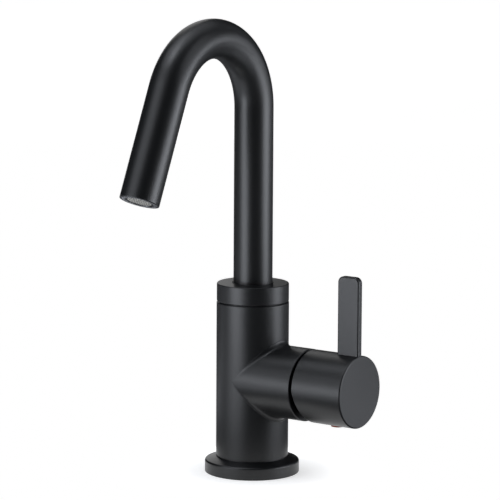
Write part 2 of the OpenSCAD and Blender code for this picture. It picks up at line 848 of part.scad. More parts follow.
base_flange();
base_seal();
body();
spout_tube();
spout_collar();
collar_slip_ring();
tube_foot_seal();
spout_shank();
upper_o_ring();
lower_o_ring();
upper_bearing_ring();
lower_bearing_ring();
spout_stop_screw();
aerator_bush();
aerator_seal();
aerator_shell();
aerator_face();
aerator_core();
aerator_screen();
port_seals();
cartridge_base();
fixed_disc();
moving_disc();
disc_driver();
cartridge_rotor();
pivot_pin();
lever_stem();
cartridge_housing();
mix_stop_ring();
cartridge_nut();
dome_cap();
lever_handle();
handle_set_screw();
index_button();
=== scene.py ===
"""Single-lever basin mixer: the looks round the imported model.

The turned, bent and cast pieces that show are modelled again here with soft edges, the hidden
pieces keep their solids, and every piece gets the finish of the real material. Metres throughout.
"""

import json
import math

import bmesh
import bpy
from bpy.props import FloatProperty, FloatVectorProperty, IntProperty, PointerProperty
from mathutils import Matrix, Vector


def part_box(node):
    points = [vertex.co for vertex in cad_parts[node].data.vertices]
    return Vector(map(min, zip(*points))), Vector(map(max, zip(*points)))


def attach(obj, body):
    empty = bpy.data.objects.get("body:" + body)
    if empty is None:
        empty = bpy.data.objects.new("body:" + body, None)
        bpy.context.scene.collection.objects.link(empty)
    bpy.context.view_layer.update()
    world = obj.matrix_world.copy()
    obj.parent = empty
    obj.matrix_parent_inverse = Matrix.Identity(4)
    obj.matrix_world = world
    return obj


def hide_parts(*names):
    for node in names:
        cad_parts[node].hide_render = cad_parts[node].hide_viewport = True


bl_info = {
    "name": "Basin Mixer",
    "version": (1, 0, 0),
    "blender": (4, 5, 0),
    "location": "3D View > Sidebar > Mixer",
    "description": "Builds the visible pieces and finishes of a single-lever basin mixer",
    "category": "Add Mesh",
}

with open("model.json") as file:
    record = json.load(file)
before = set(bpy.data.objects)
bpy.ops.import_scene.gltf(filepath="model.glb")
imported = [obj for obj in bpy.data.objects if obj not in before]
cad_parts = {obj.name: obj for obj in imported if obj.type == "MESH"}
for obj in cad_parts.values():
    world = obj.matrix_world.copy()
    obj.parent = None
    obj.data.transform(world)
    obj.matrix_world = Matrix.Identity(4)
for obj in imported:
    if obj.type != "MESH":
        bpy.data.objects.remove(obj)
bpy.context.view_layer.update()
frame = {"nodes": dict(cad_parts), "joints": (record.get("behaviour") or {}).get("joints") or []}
PIVOT = Vector(next(j for j in frame["joints"] if j["name"] == "lever_turn")["pos_m"])
# Lowest and highest corners of the solids that the pieces are fitted to
FLANGE_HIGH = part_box("base_flange")[1]
BODY_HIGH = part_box("body")[1]
COLLAR_LOW, COLLAR_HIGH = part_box("spout_collar")
TUBE_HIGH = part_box("spout_tube")[1]
SEAL_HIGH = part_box("base_seal")[1]
RING_LOW, RING_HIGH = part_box("tube_foot_seal")
SHANK_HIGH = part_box("spout_shank")[1]
STEM_LOW, STEM_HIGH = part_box("lever_stem")
HANDLE_LOW, HANDLE_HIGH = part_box("lever_handle")
DOME_LOW, DOME_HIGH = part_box("dome_cap")
BUTTON_LOW, BUTTON_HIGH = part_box("index_button")
MM = 0.001
FULL_TURN = 2 * math.pi
# Edges bent more than this stay crisp, and all others are shaded round
CRISP = math.radians(40)
# Edges of a plain shape that get a rounding are bent more than this
CORNER = math.radians(60)
# Two corners nearer than this are one
SAME = 1e-6
# Play of a running fit, slip of a pushed-in piece, and open gap between two castings
RUN, SLIP, GAP = 0.04 * MM, 0.1 * MM, 0.3 * MM
# Faces round a small turned piece
SMALL_STEPS = 64
# A noise's values lie mostly between these
NOISE_LOW, NOISE_HIGH = 0.3, 0.7
# A wave texture of scale 1 repeats after this many metres
WAVE_LENGTH = 0.314
# Turns +Z to the handle's axis
HANDLE_FRAME = Matrix.Translation((0, 0, PIVOT.z)) @ Matrix.Rotation(math.pi / 2, 4, "Y")


def linear(hex_colour):
    """The linear colour of an sRGB hex value."""
    channels = [int(hex_colour[i:i + 2], 16) / 255 for i in (1, 3, 5)]
    return [c / 12.92 if c <= 0.04045 else ((c + 0.055) / 1.055) ** 2.4 for c in channels]


def size(name, description, value):
    """A length that can be set in the sidebar."""
    return FloatProperty(name=name, description=description, default=value, min=0, subtype="DISTANCE",
                         unit="LENGTH", precision=5)


def colour(name, description, value):
    """A colour that can be set in the sidebar."""
    return FloatVectorProperty(name=name, description=description, default=linear(value), min=0,
                               max=1, subtype="COLOR", size=3)


class MixerSizes(bpy.types.PropertyGroup):
    """Sizes of the pieces that are modelled here."""
    steps: IntProperty(name="Steps", description="Faces round a turned piece", default=160, min=32,
                       max=256)
    rim_round: size("Rim rounding", "Rounding of the collar's, body's and boss's edges", 0.6 * MM)
    spigot: size("Spigot", "Diameter of the body's spigot in the flange", 38.0 * MM)
    seal_wide: size("Seal width", "Width of the rubber ring under the flange", 3.5 * MM)
    flange_round: size("Flange rounding", "Rounding of the flange's outer rim", 1.0 * MM)
    flange_rim: size("Flange rim", "Height of the flange's outer rim", 7.2 * MM)
    shank_flange: size("Shank flange", "Thickness of the shank's flange in the collar", 2.8 * MM)
    fillet: size("Junction fillet", "Radius between the upright body and its side boss", 3.0 * MM)
    tube: size("Tube", "Diameter of the spout's tube", 22.6 * MM)
    tube_wall: size("Tube wall", "Wall of the spout's tube", 1.2 * MM)
    bend: size("Bend", "Radius of the spout's bend at the tube's centre line", 42.2 * MM)
    bend_angle: FloatProperty(name="Bend angle", description="Angle that the spout bends through",
                              default=math.radians(156.2), subtype="ANGLE", unit="ROTATION")
    drop: size("Drop", "Straight length from the bend to the outlet", 65.8 * MM)
    outlet_round: size("Outlet rounding", "Rounding of the outlet's rim", 0.35 * MM)
    hub_wall: size("Hub wall", "Wall of the handle's hub", 2.4 * MM)
    end_wall: size("Hub end", "Thickness of the hub's end", 3.0 * MM)
    hub_round: size("Hub rounding", "Rounding of the hub's outer rim", 0.9 * MM)
    slant: FloatProperty(name="Slant", description="Angle of the cut at the hub's lower inner edge",
                         default=math.radians(13.5), subtype="ANGLE", unit="ROTATION")
    socket_wall: size("Socket wall", "Wall of the stem's socket in the hub", 4.0 * MM)
    socket_gap: size("Socket gap", "Gap between the domed cap and the stem's socket", 0.6 * MM)
    screw: size("Set screw", "Diameter of the screw that clamps the handle", 5.0 * MM)
    column_wall: size("Column wall", "Wall of the screw's column beside the button", 1.6 * MM)
    blade_wide: size("Blade width", "Width of the blade along the handle's axis", 14.3 * MM)
    blade_thick: size("Blade thickness", "Thickness of the blade", 4.2 * MM)
    blade_inset: size("Blade setback", "Distance from the blade to the hub's end", 0.3 * MM)
    blade_corner: size("Blade corner", "Radius of the blade's top corners", 3.5 * MM)
    blade_round: size("Blade rounding", "Rounding of the blade's long edges", 0.9 * MM)
    dome_wall: size("Dome wall", "Wall of the domed cap in the boss", 1.2 * MM)
    dome_hole: size("Dome hole", "Radius of the domed cap's hole", 11.0 * MM)
    dome_lip: size("Dome lip", "Step from the cap's thread to its dome", 0.8 * MM)
    dome_skirt: size("Dome skirt", "Wall of the cap's threaded skirt", 1.6 * MM)
    inlet: size("Inlet", "Diameter of the hose inlets", 9.0 * MM)
    inlet_side: size("Inlet place", "Distance of the inlets from the body's axis, toward the handle",
                     3.0 * MM)
    inlet_apart: size("Inlets apart", "Distance between the two hose inlets", 15.0 * MM)
    inlet_deep: size("Inlet depth", "Depth of the hose inlets' threads", 12.0 * MM)
    stud_hole: size("Stud hole", "Diameter of the fixing stud's hole", 6.8 * MM)
    stud_side: size("Stud place", "Distance of the stud's hole from the body's axis", 11.0 * MM)
    stud_deep: size("Stud hole depth", "Depth of the fixing stud's hole", 14.0 * MM)
    deck_hole: size("Deck hole", "Hole in the floor under the mixer, as in a real deck", 35.0 * MM)


class MixerColours(bpy.types.PropertyGroup):
    """Colours of the finishes."""
    coat: colour("Powder coat", "Matte black powder coat", "#0b0c0d")
    rubber: colour("Rubber", "Moulded black rubber", "#121213")
    acetal: colour("Acetal", "Natural acetal of the cartridge and rings", "#dedad0")
    brass: colour("Brass", "Machined brass", "#c9a55e")
    steel: colour("Steel", "Turned stainless steel", "#b4b5b8")
    black: colour("Black acetal", "Black acetal of the slip ring", "#141415")
    shell: colour("Aerator shell", "Near-black plastic of the aerator's shell", "#0e0e0f")
    face: colour("Aerator face", "Light grey plastic of the aerator's honeycomb", "#a5a39c")
    lamp: colour("Lamps", "Cool daylight of the lamps", "#f3f7ff")
    ceramic: colour("Ceramic", "Lapped alumina discs", "#efeee8")
    blue: colour("Blue", "Blue plastic of the disc's driver and the cold side", "#2b5f9e")
    red: colour("Red", "Red plastic of the stop ring and the hot side", "#a5563f")
    backdrop: colour("Backdrop", "Pale floor under the mixer", "#cacac9")


def add(tree, kind, settings):
    """Adds a node.

    A key in small letters is the node's own setting. Any other key is a socket, by its name or place,
    which takes a value or a link.
    """
    node = tree.nodes.new("ShaderNode" + kind)
    for key, value in settings.items():
        if isinstance(key, str) and key.islower():
            setattr(node, key, value)
        elif isinstance(value, bpy.types.NodeSocket):
            tree.links.new(value, node.inputs[key])
        else:
            node.inputs[key].default_value = value
    return node


def finish(name):
    """An empty material with its output, and the Object coordinates that its patterns read."""
    material = bpy.data.materials.new(name)
    material.use_nodes = True
    tree = material.node_tree
    tree.nodes.clear()
    return material, tree, add(tree, "TexCoord", {}).outputs["Object"]


def close(tree, shader):
    """Links the shader to the material's output."""
    add(tree, "OutputMaterial", {"Surface": shader.outputs[0]})


def rgba(value):
    """A linear colour as a socket takes it."""
    return (*value, 1.0)


def grain(tree, where, wave, detail=2.0):
    """Noise with bumps about wave metres apart."""
    return add(tree, "TexNoise", {"Vector": where, "Scale": 1 / wave, "Detail": detail, "Roughness": 0.55})


def spread(tree, source, low, high):
    """The noise turned to a range of values."""
    return add(tree, "MapRange", {"Value": source, "From Min": NOISE_LOW, "From Max": NOISE_HIGH,
                                  "To Min": low, "To Max": high}).outputs["Result"]


def relief(tree, height, depth, normal=None):
    """Bumps of a real depth in metres, over other bumps if there are any."""
    settings = {"Height": height, "Distance": depth, "Strength": 1.0}
    if normal:
        settings["Normal"] = normal
    return add(tree, "Bump", settings).outputs["Normal"]


def blend(tree, share, first, second):
    """A colour between two others by a share."""
    node = add(tree, "Mix", {"data_type": "RGBA"})
    for socket, value in ((node.inputs[0], share), (node.inputs[6], first), (node.inputs[7], second)):
        if isinstance(value, bpy.types.NodeSocket):
            tree.links.new(value, socket)
        else:
            socket.default_value = value
    return node.outputs[2]


def sums(tree, operation, first, second):
    """One step of arithmetic."""
    return add(tree, "Math", {"operation": operation, 0: first, 1: second}).outputs[0]


def coat_shader(tree, where, colours):
    """Shader of the sprayed and baked coat: near black, with a soft broad shine.

    The powder melts into a soft, slightly wavy skin: shallow orange peel 1.4 mm apart, and a fine
    0.35 mm grain, which is drawn coarser than the real 0.1 mm so that it shows. Its black is up to a
    quarter lighter in clouds 18 mm apart.
    """
    peel = grain(tree, where, 1.4 * MM)
    fine = grain(tree, where, 0.35 * MM, 3.0)
    cloud = grain(tree, where, 18 * MM)
    base = rgba(colours.coat)
    lighter = tuple(min(1.0, c * 1.25) for c in base)
    return add(tree, "BsdfPrincipled", {
        "Base Color": blend(tree, spread(tree, cloud.outputs["Fac"], 0, 1), base, lighter),
        "Roughness": spread(tree, fine.outputs["Fac"], 0.33, 0.41), "IOR": 1.5,
        "Normal": relief(tree, fine.outputs["Fac"], 0.012 * MM,
                         relief(tree, peel.outputs["Fac"], 0.02 * MM))})


def powder_coat(colours):
    """Matte black polyester powder coat on turned and cast brass and zinc."""
    material, tree, where = finish("powder_coat_matte_black")
    close(tree, coat_shader(tree, where, colours))
    return material


def coated_casting(colours):
    """The same coat on the outside of the brass body, with bare machined brass in its bores and foot.

    The cutter leaves rings in the brass. They are drawn 2.2 mm apart, coarser than real, to show.
    """
    material, tree, where = finish("powder_coat_and_machined_brass")
    coat = coat_shader(tree, where, colours)
    tool = add(tree, "TexWave", {"Vector": where, "Scale": 1 / (7 * MM), "Distortion": 1.0,
                                 "wave_type": "RINGS", "rings_direction": "Z"})
    brass = add(tree, "BsdfPrincipled", {
        "Base Color": rgba(colours.brass), "Metallic": 1.0,
        "Roughness": spread(tree, tool.outputs["Fac"], 0.24, 0.36),
        "Normal": relief(tree, tool.outputs["Fac"], 0.01 * MM)})
    split = add(tree, "SeparateXYZ", {"Vector": where}).outputs
    upright = add(tree, "CombineXYZ", {"X": split["X"], "Y": split["Y"]})
    from_body = add(tree, "VectorMath", {"operation": "LENGTH", 0: upright.outputs[0]}).outputs["Value"]
    side = add(tree, "CombineXYZ", {"X": split["Y"], "Y": sums(tree, "SUBTRACT", split["Z"], PIVOT.z)})
    from_boss = add(tree, "VectorMath", {"operation": "LENGTH", 0: side.outputs[0]}).outputs["Value"]
    # Brass lies bare within this radius of the upright's axis, and in the boss's bore plus a hair
    bare_core, hair = 19.5 * MM, 0.02 * MM
    inside_body = sums(tree, "LESS_THAN", from_body, bare_core)
    bore = DOME_HIGH.y + SLIP + hair
    along_boss = sums(tree, "MULTIPLY", sums(tree, "GREATER_THAN", split["X"], 0.0),
                      sums(tree, "LESS_THAN", split["X"], BODY_HIGH.x - GAP))
    inside_boss = sums(tree, "MULTIPLY", sums(tree, "LESS_THAN", from_boss, bore), along_boss)
    bare = sums(tree, "MAXIMUM", inside_body, inside_boss)
    close(tree, add(tree, "MixShader", {0: bare, 1: coat.outputs[0], 2: brass.outputs[0]}))
    return material


def moulded(name, tint, roughness, texture, depth, more=None):
    """A moulded plastic or rubber: an even tint, with the spark-eroded texture of its mould.

    texture is the distance between its bumps. The tint is up to a tenth darker in clouds 12 mm apart.
    """
    material, tree, where = finish(name)
    fine = grain(tree, where, texture, 3.0)
    cloud = grain(tree, where, 12 * MM)
    base = rgba(tint)
    darker = tuple(c * 0.9 for c in base[:3]) + (1.0,)
    settings = {"Base Color": blend(tree, spread(tree, cloud.outputs["Fac"], 0, 1), darker, base),
                "Roughness": spread(tree, fine.outputs["Fac"], roughness - 0.05, roughness + 0.05),
                "Normal": relief(tree, fine.outputs["Fac"], depth)}
    settings.update(more or {})
    close(tree, add(tree, "BsdfPrincipled", settings))
    return material


def turned(name, tint, pitch):
    """A turned metal: fine feed marks pitch metres apart, which stretch its shine into rings.

    It is a little duller in clouds 6 mm apart, as handled metal is.
    """
    material, tree, where = finish(name)
    marks = add(tree, "TexWave", {"Vector": where, "Scale": WAVE_LENGTH / pitch, "Distortion": 0.4,
                                  "bands_direction": "Z"})
    cloud = grain(tree, where, 6 * MM)
    close(tree, add(tree, "BsdfPrincipled", {
        "Base Color": rgba(tint), "Metallic": 1.0,
        "Roughness": spread(tree, cloud.outputs["Fac"], 0.22, 0.32),
        "Normal": relief(tree, marks.outputs["Fac"], 0.006 * MM)}))
    return material


def lapped_ceramic(colours):
    """Alumina lapped flat: white, hard and almost glossy, with a faint speckle."""
    material, tree, where = finish("alumina_lapped")
    speck = grain(tree, where, 0.3 * MM, 4.0)
    base = rgba(colours.ceramic)
    darker = tuple(c * 0.93 for c in base[:3]) + (1.0,)
    close(tree, add(tree, "BsdfPrincipled", {
        "Base Color": blend(tree, spread(tree, speck.outputs["Fac"], 0, 1), darker, base),
        "Roughness": 0.14, "IOR": 1.76}))
    return material


def two_tone_button(colours):
    """Acrylic moulded glossy and clear in colour: red on the front half, blue on the rear half."""
    material, tree, where = finish("acrylic_red_and_blue")
    split = add(tree, "SeparateXYZ", {"Vector": where}).outputs
    rear = sums(tree, "GREATER_THAN", split["Y"], 0.0)
    fine = grain(tree, where, 0.5 * MM)
    close(tree, add(tree, "BsdfPrincipled", {
        "Base Color": blend(tree, rear, rgba(colours.red), rgba(colours.blue)),
        "Roughness": spread(tree, fine.outputs["Fac"], 0.2, 0.26)}))
    return material


def make_finishes(colours):
    """Every finish, by the name that the pieces use."""
    return {
        "coat": powder_coat(colours),
        "casting": coated_casting(colours),
        # EPDM, moulded: dull black, faintly grained
        "rubber": moulded("epdm_rubber_moulded", colours.rubber, 0.62, 0.4 * MM, 0.01 * MM),
        # Acetal, moulded: waxy off-white that lets a little light in
        "acetal": moulded("acetal_natural_moulded", colours.acetal, 0.38, 0.3 * MM, 0.004 * MM,
                          {"Subsurface Weight": 0.1, "Subsurface Radius": (0.002, 0.0015, 0.001)}),
        # Acetal, moulded black: waxy black, for the slip ring in the groove under the collar
        "black": moulded("acetal_black_moulded", colours.black, 0.4, 0.3 * MM, 0.004 * MM),
        # Brass, turned: warm metal with feed marks
        "brass": turned("brass_turned", colours.brass, 0.3 * MM),
        # Stainless steel, turned: neutral metal with feed marks
        "steel": turned("stainless_steel_turned", colours.steel, 0.25 * MM),
        # Glass-filled polyamide, moulded: dull near black, for the aerator's shell
        "shell": moulded("polyamide_dark_moulded", colours.shell, 0.55, 0.25 * MM, 0.008 * MM),
        # Acetal, moulded light grey: pale and waxy, for the aerator's honeycomb, jet plate and sieve
        "face": moulded("acetal_light_grey_moulded", colours.face, 0.45, 0.25 * MM, 0.006 * MM),
        "ceramic": lapped_ceramic(colours),
        # Acetal, moulded blue and red: waxy colours, for the cartridge's moving and stop pieces
        "blue": moulded("acetal_blue_moulded", colours.blue, 0.4, 0.3 * MM, 0.004 * MM),
        "red": moulded("acetal_red_moulded", colours.red, 0.4, 0.3 * MM, 0.004 * MM),
        "button": two_tone_button(colours),
    }


# The finish of each solid that shows as it is
NODE_FINISH = {
    "casting": ["body"],
    "rubber": ["base_seal", "tube_foot_seal", "upper_o_ring", "lower_o_ring", "aerator_seal", "port_seals"],
    "black": ["collar_slip_ring"],
    "acetal": ["upper_bearing_ring", "lower_bearing_ring", "cartridge_base", "cartridge_rotor",
               "cartridge_housing"],
    "brass": ["spout_shank", "lever_stem", "cartridge_nut"],
    "steel": ["spout_stop_screw", "pivot_pin", "handle_set_screw", "aerator_bush"],
    "shell": ["aerator_shell"],
    "face": ["aerator_face", "aerator_core", "aerator_screen"],
    "ceramic": ["fixed_disc", "moving_disc"],
    "blue": ["disc_driver"],
    "red": ["mix_stop_ring"],
}


def the_finish(key):
    """A finish by its key; the finishes are made first."""
    names = bpy.context.scene.get("mixer_finishes")
    if not names:
        raise RuntimeError("Make the finishes first")
    return bpy.data.materials[names[key]]


def spun(profile, rounds, steps, closed=True):
    """A turned piece. profile is its corners as (radius, height), and rounds the rounding of some of them."""
    bm = bmesh.new()
    corners = [bm.verts.new((r, 0, z)) for r, z in profile]
    edges = [bm.edges.new(pair) for pair in zip(corners, corners[1:])]
    if closed:
        edges.append(bm.edges.new((corners[-1], corners[0])))
    bmesh.ops.spin(bm, geom=corners + edges, cent=(0, 0, 0), axis=(0, 0, 1), angle=FULL_TURN, steps=steps,
                   use_merge=True, use_duplicate=False)
    bmesh.ops.remove_doubles(bm, verts=bm.verts, dist=SAME)
    for corner, rounding in rounds.items():
        bevel(bm, rim(bm, *profile[corner]), rounding)
    return bm


def rim(bm, radius, height):
    """The edges of a turned piece at one radius and height."""
    def on(v):
        return abs(math.hypot(v.co.x, v.co.y) - radius) < SAME and abs(v.co.z - height) < SAME
    return [e for e in bm.edges if on(e.verts[0]) and on(e.verts[1])]


def bevel(bm, edges, offset, segments=5):
    """Rounds the edges."""
    bmesh.ops.bevel(bm, geom=edges, offset=offset, offset_type="OFFSET", segments=segments, profile=0.5,
                    affect="EDGES", clamp_overlap=True, material=-1)


def piece(bm, name, material, body, replaced=(), place=None):
    """Makes a finished piece of the mesh: in place, facing outward, and riding on its body."""
    if place:
        bmesh.ops.transform(bm, matrix=place, verts=bm.verts)
    bmesh.ops.remove_doubles(bm, verts=bm.verts, dist=SAME)
    bmesh.ops.recalc_face_normals(bm, faces=bm.faces)
    for face in bm.faces:
        face.smooth = True
    for edge in bm.edges:
        edge.smooth = not (edge.is_manifold and edge.calc_face_angle(0.0) > CRISP)
    mesh = bpy.data.meshes.new(name)
    bm.to_mesh(mesh)
    bm.free()
    made = bpy.data.objects.new(name, mesh)
    bpy.context.scene.collection.objects.link(made)
    # Keeps wide faces flat beside their small roundings
    even = made.modifiers.new("even shading", "WEIGHTED_NORMAL")
    even.keep_sharp = True
    made.data.materials.append(the_finish(material))
    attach(made, body)
    if replaced:
        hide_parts(*replaced)
    return made


def corners_of(made):
    """The corners among what an operator made."""
    return [v for v in made if isinstance(v, bmesh.types.BMVert)]


def drawn(bm, section, along):
    """Draws the section along a straight line, and returns its new end."""
    ends = bmesh.ops.extrude_face_region(bm, geom=section)["geom"]
    bmesh.ops.translate(bm, vec=along, verts=corners_of(ends))
    return ends


class MIXER_OT_finishes(bpy.types.Operator):
    """Makes the finishes and puts them on the solids that show as they are"""
    bl_idname = "mixer.finishes"
    bl_label = "Finishes"

    def execute(self, context):
        made = make_finishes(context.scene.mixer_colours)
        context.scene["mixer_finishes"] = {key: material.name for key, material in made.items()}
        for key, nodes in NODE_FINISH.items():
            for node in nodes:
                mesh = frame["nodes"][node].data
                mesh.materials.clear()
                mesh.materials.append(made[key])
        return {"FINISHED"}


class MIXER_OT_flange(bpy.types.Operator):
    """Base flange: turned, with a sloped top and a rounded rim, hollow for the rubber ring"""
    bl_idname = "mixer.flange"
    bl_label = "Base flange"

    def execute(self, context):
        s = context.scene.mixer_sizes
        outer, top = FLANGE_HIGH.x, FLANGE_HIGH.z
        bore = s.spigot / 2 + SLIP
        seat_in, seat_out = SEAL_HIGH.x - s.seal_wide - SLIP, SEAL_HIGH.x + SLIP
        foot_round, top_round = 0.4 * MM, 0.2 * MM
        profile = [(bore, 0), (seat_in, 0), (seat_in, SEAL_HIGH.z), (seat_out, SEAL_HIGH.z), (seat_out, 0),
                   (outer, 0), (outer, s.flange_rim), (BODY_HIGH.y + GAP, top), (bore, top)]
        bm = spun(profile, {5: foot_round, 6: s.flange_round, 7: top_round}, s.steps)
        piece(bm, "flange_ring", "coat", "body", ["base_flange"])
        return {"FINISHED"}


class MIXER_OT_junction(bpy.types.Operator):
    """Cast fillet in the corner between the upright body and its side boss

    Its sheet follows a ball that rolls along the corner and touches both. Body and boss have one radius.
    """
    bl_idname = "mixer.junction"
    bl_label = "Junction fillet"

    def execute(self, context):
        s = context.scene.mixer_sizes
        radius, big = s.fillet, BODY_HIGH.y + s.fillet
        sunk, thick = 0.01 * MM, 0.3 * MM
        for side, name in ((1, "junction_fillet_upper"), (-1, "junction_fillet_lower")):
            bm = bmesh.new()
            bmesh.ops.create_grid(bm, x_segments=120, y_segments=10, size=1)
            for v in bm.verts:
                along, across = v.co.x, (v.co.y + 1) / 2
                y = big * math.sin(along * math.pi / 2)
                reach = big * math.cos(along * math.pi / 2)
                to_body = Vector((-reach, -y, 0)).normalized()
                to_boss = Vector((0, -y, -side * reach)).normalized()
                centre = Vector((reach, y, PIVOT.z + side * reach))
                v.co = centre + (radius - sunk) * to_body.slerp(to_boss, across, to_body)
            made = piece(bm, name, "coat", "body")
            wall = made.modifiers.new("wall", "SOLIDIFY")
            wall.thickness = thick
            wall.offset = -1
        return {"FINISHED"}


def rim_ring(radius, end, rounding, steps):
    """Thin ring that rounds the chamfered edge of a solid whose end face is at height end.

    It is a little wider and taller than the rounding, to cover the chamfer, and a hair below the end.
    """
    wide, tall, hair = 1.15 * rounding, 1.5 * rounding, 0.003 * MM
    inner, foot, top = radius - wide, end - tall, end - hair
    return spun([(inner, foot), (radius, foot), (radius, top), (inner, top)], {2: rounding}, steps)


class MIXER_OT_rims(bpy.types.Operator):
    """Rounded rims on the cast body: the upright's top edge and the side boss's end"""
    bl_idname = "mixer.rims"
    bl_label = "Body rims"

    def execute(self, context):
        s = context.scene.mixer_sizes
        radius = BODY_HIGH.y
        for name, end, place in (("body_top_rim", BODY_HIGH.z, None),
                                 ("boss_rim", BODY_HIGH.x, HANDLE_FRAME)):
            piece(rim_ring(radius, end, s.rim_round, s.steps), name, "coat", "body",
                  place=place)
        return {"FINISHED"}


def thread_ridge(radius, depth, pitch):
    """Ridge of a tapped thread, wound up the wall of a hole that starts at height 0."""
    turn_steps, buried, tall = 32, 0.05 * MM, 0.3 * pitch
    low, crest, high = 0.1 * pitch, 0.5 * pitch, 0.9 * pitch
    turns = int(depth / pitch) - 1
    bm = bmesh.new()
    section = [bm.verts.new(co) for co in
               ((radius + buried, 0, low), (radius - tall, 0, crest), (radius + buried, 0, high))]
    face = bm.faces.new(section)
    bmesh.ops.spin(bm, geom=section + face.edges[:] + [face], cent=(0, 0, 0), axis=(0, 0, 1),
                   dvec=(0, 0, pitch / turn_steps), angle=turns * FULL_TURN, steps=turns * turn_steps,
                   use_merge=False, use_duplicate=False)
    return bm


class MIXER_OT_threads(bpy.types.Operator):
    """Tapped threads under the body: M10x1 in the two hose inlets and M8x1.25 in the stud's hole"""
    bl_idname = "mixer.threads"
    bl_label = "Threads"

    def execute(self, context):
        s = context.scene.mixer_sizes
        hose_pitch, stud_pitch = 1.0 * MM, 1.25 * MM
        for name, x, y, wide, deep, pitch in (
                ("front_inlet_thread", s.inlet_side, -s.inlet_apart / 2, s.inlet, s.inlet_deep, hose_pitch),
                ("rear_inlet_thread", s.inlet_side, s.inlet_apart / 2, s.inlet, s.inlet_deep, hose_pitch),
                ("stud_thread", -s.stud_side, 0, s.stud_hole, s.stud_deep, stud_pitch)):
            piece(thread_ridge(wide / 2, deep, pitch), name, "brass", "body",
                  place=Matrix.Translation((x, y, 0)))
        return {"FINISHED"}


class MIXER_OT_dome(bpy.types.Operator):
    """Domed cap in the boss's mouth, which closes the gap when the handle tilts"""
    bl_idname = "mixer.dome"
    bl_label = "Domed cap"

    def execute(self, context):
        s = context.scene.mixer_sizes
        thread_r, skirt_r, skirt_end = DOME_HIGH.y, DOME_HIGH.y - s.dome_skirt, BODY_HIGH.x - 2 * SLIP
        foot_r = thread_r - s.dome_lip
        ball = math.hypot(BODY_HIGH.x - PIVOT.x, foot_r)
        inner = ball - s.dome_wall
        start, end = math.asin(foot_r / ball), math.asin(s.dome_hole / ball)
        first, last = math.asin(skirt_r / inner), math.asin(s.dome_hole / inner)
        arc_steps = 16
        outside = [start + (end - start) * i / arc_steps for i in range(arc_steps + 1)]
        inside = [last + (first - last) * i / arc_steps for i in range(arc_steps + 1)]
        profile = [(skirt_r, DOME_LOW.x), (thread_r, DOME_LOW.x), (thread_r, skirt_end)]
        profile += [(ball * math.sin(a), PIVOT.x + ball * math.cos(a)) for a in outside]
        profile += [(inner * math.sin(a), PIVOT.x + inner * math.cos(a)) for a in inside]
        piece(spun(profile, {}, s.steps), "cartridge_dome", "coat", "body", ["dome_cap"],
              HANDLE_FRAME)
        return {"FINISHED"}


class MIXER_OT_collar(bpy.types.Operator):
    """Turned collar at the spout's foot, recessed for the shank's flange and the black ring"""
    bl_idname = "mixer.collar"
    bl_label = "Collar"

    def execute(self, context):
        s = context.scene.mixer_sizes
        low, top, outer = COLLAR_LOW.z, COLLAR_HIGH.z, COLLAR_HIGH.x
        bore, ring_r, seat_r = s.tube / 2 + RUN, RING_HIGH.x + RUN, SHANK_HIGH.x + SLIP
        ring_low, seat_top = RING_LOW.z, low + s.shank_flange
        mouth_round = 0.15 * MM
        profile = [(seat_r, low), (outer, low), (outer, top), (ring_r, top), (ring_r, ring_low),
                   (bore, ring_low), (bore, seat_top), (seat_r, seat_top)]
        bm = spun(profile, {1: s.rim_round, 2: s.rim_round, 3: mouth_round}, s.steps)
        piece(bm, "collar_ring", "coat", "spout", ["spout_collar"])
        return {"FINISHED"}


class MIXER_OT_tube(bpy.types.Operator):
    """Bent spout tube: two circles are drawn up, spun round the bend, and drawn down to the outlet"""
    bl_idname = "mixer.tube"
    bl_label = "Spout tube"

    def execute(self, context):
        s = context.scene.mixer_sizes
        outer, bore = s.tube / 2, s.tube / 2 - s.tube_wall
        foot, arch = COLLAR_LOW.z + s.shank_flange, TUBE_HIGH.z - s.bend - outer
        round_steps, bend_steps = 96, 88
        bm = bmesh.new()
        bmesh.ops.create_circle(bm, segments=round_steps, radius=outer,
                                matrix=Matrix.Translation((0, 0, foot)))
        inner = corners_of(bmesh.ops.extrude_edge_only(bm, edges=bm.edges[:])["geom"])
        bmesh.ops.scale(bm, vec=(bore / outer, bore / outer, 1), verts=inner)
        upright = drawn(bm, bm.faces[:], (0, 0, arch - foot))
        bent = bmesh.ops.spin(bm, geom=upright, cent=(0, -s.bend, arch), axis=(1, 0, 0), angle=s.bend_angle,
                              steps=bend_steps, use_merge=False, use_duplicate=False)["geom_last"]
        down = Matrix.Rotation(s.bend_angle, 3, "X") @ Vector((0, 0, s.drop))
        end = set(corners_of(drawn(bm, bent, down)))
        bevel(bm, [e for e in bm.edges if e.verts[0] in end and e.verts[1] in end
                   and e.calc_face_angle(0.0) > CRISP], s.outlet_round, segments=4)
        piece(bm, "spout_bent_tube", "coat", "spout", ["spout_tube"])
        return {"FINISHED"}


